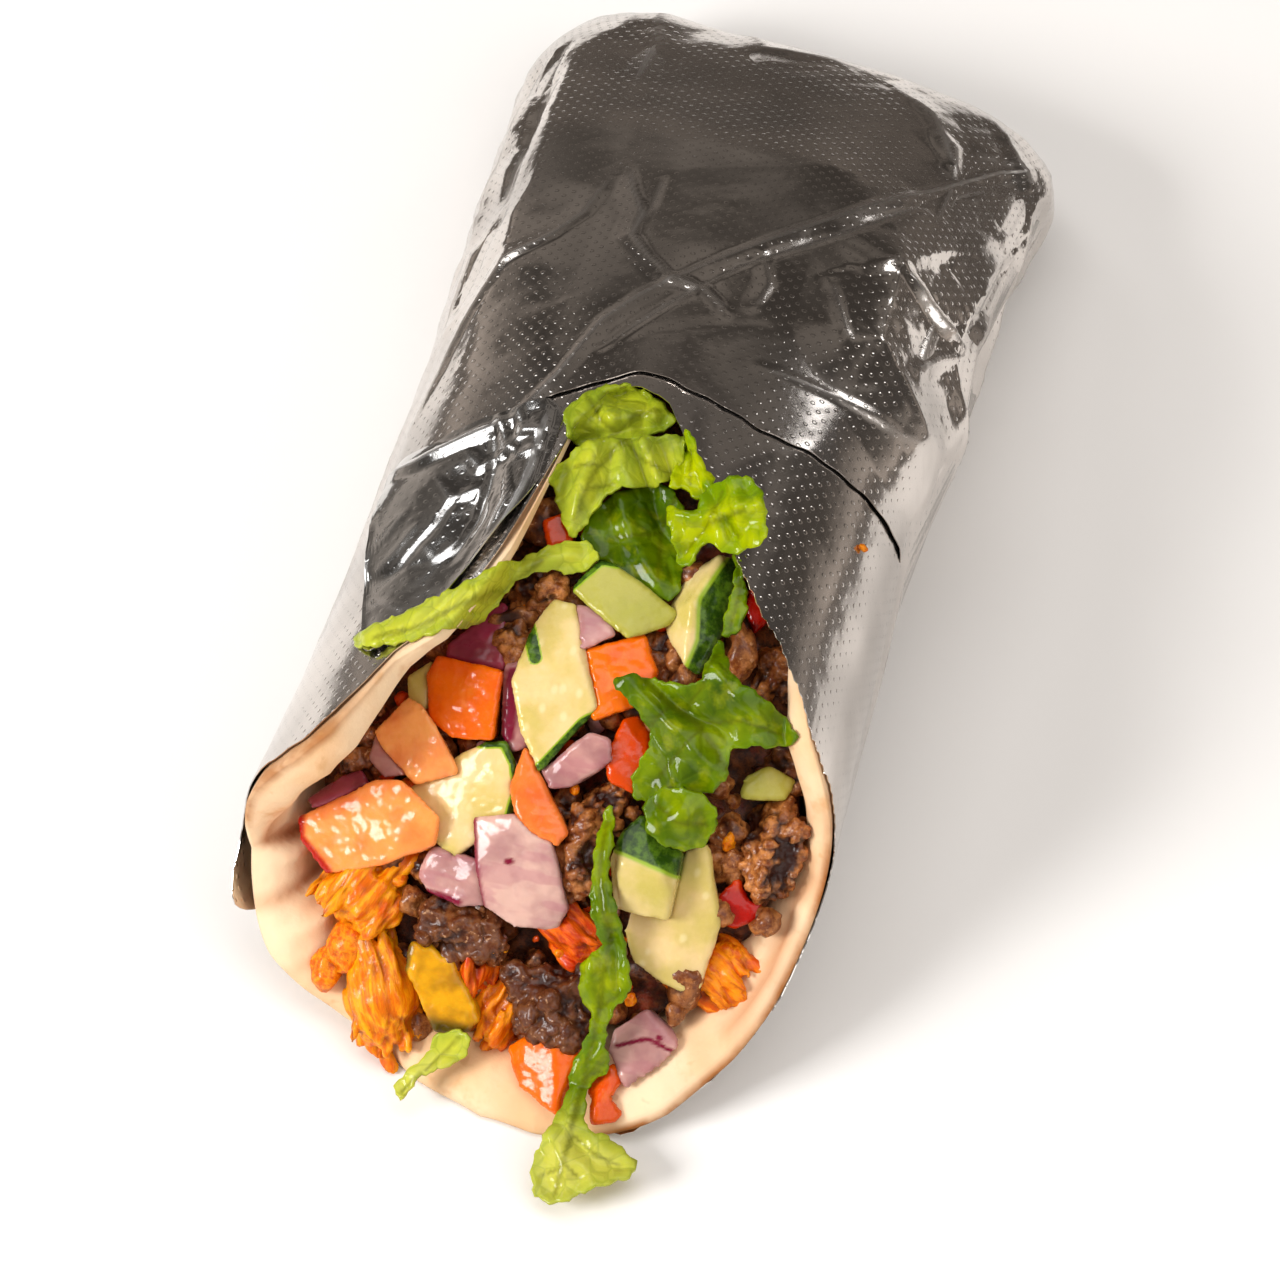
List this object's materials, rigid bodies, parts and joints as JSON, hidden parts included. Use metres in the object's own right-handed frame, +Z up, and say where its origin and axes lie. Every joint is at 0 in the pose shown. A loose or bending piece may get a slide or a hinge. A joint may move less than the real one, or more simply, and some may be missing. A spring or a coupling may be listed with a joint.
{
  "type": "gyro wrap",
  "caption": "Gyro wrap lying on its back: a folded pita in embossed foil, open at one end over a heap of meat, chicken, tomato, cucumber, onion and lettuce.",
  "frame": {"origin": "middle of the wrap's bounding box, on the table it lies on", "axes": "+Y along the wrap towards its folded end, +X across it, +Z up; the open mouth faces -Y and up"},
  "size_m": [0.0892, 0.2198, 0.0651],
  "materials": {
    "foil": "embossed, bright side and matt side, crumpled",
    "pita": "soft baked flatbread, pale with light brown patches",
    "filling": "dark moist chopped meat and juices",
    "tomato": "wet cut flesh",
    "cucumber": "pale wet flesh with dark green skin",
    "onion": "translucent, white to purple",
    "pepper": "pickled, olive yellow",
    "meat": "browned, grainy and moist",
    "chicken": "orange-yellow spiced shreds",
    "lettuce": "thin veined leaf, wet"
  },
  "bodies": {
    "root": {"foil": "foil", "pita": "pita", "filling": "filling", "tomato_1": "tomato", "tomato_2": "tomato", "tomato_3": "tomato", "tomato_4": "tomato", "tomato_5": "tomato", "tomato_6": "tomato", "tomato_7": "tomato", "tomato_8": "tomato", "tomato_9": "tomato", "tomato_10": "tomato", "tomato_11": "tomato", "cucumber_1": "cucumber", "cucumber_2": "cucumber", "cucumber_3": "cucumber", "cucumber_4": "cucumber", "cucumber_5": "cucumber", "cucumber_6": "cucumber", "cucumber_7": "cucumber", "cucumber_8": "cucumber", "onion_1": "onion", "onion_2": "onion", "onion_3": "onion", "onion_4": "onion", "onion_5": "onion", "onion_6": "onion", "onion_7": "onion", "onion_8": "onion", "onion_9": "onion", "pepper_1": "pepper", "meat_1": "meat", "meat_2": "meat", "meat_3": "meat", "meat_4": "meat", "meat_5": "meat", "meat_6": "meat", "meat_7": "meat", "meat_8": "meat", "meat_9": "meat", "meat_10": "meat", "meat_11": "meat", "chicken_1": "chicken", "chicken_2": "chicken", "chicken_3": "chicken", "chicken_4": "chicken", "chicken_5": "chicken", "chicken_6": "chicken", "lettuce_1": "lettuce", "lettuce_2": "lettuce", "lettuce_3": "lettuce", "lettuce_4": "lettuce", "lettuce_5": "lettuce", "lettuce_6": "lettuce", "lettuce_7": "lettuce", "lettuce_8": "lettuce", "lettuce_9": "lettuce", "lettuce_10": "lettuce"}
  },
  "joints": []
}
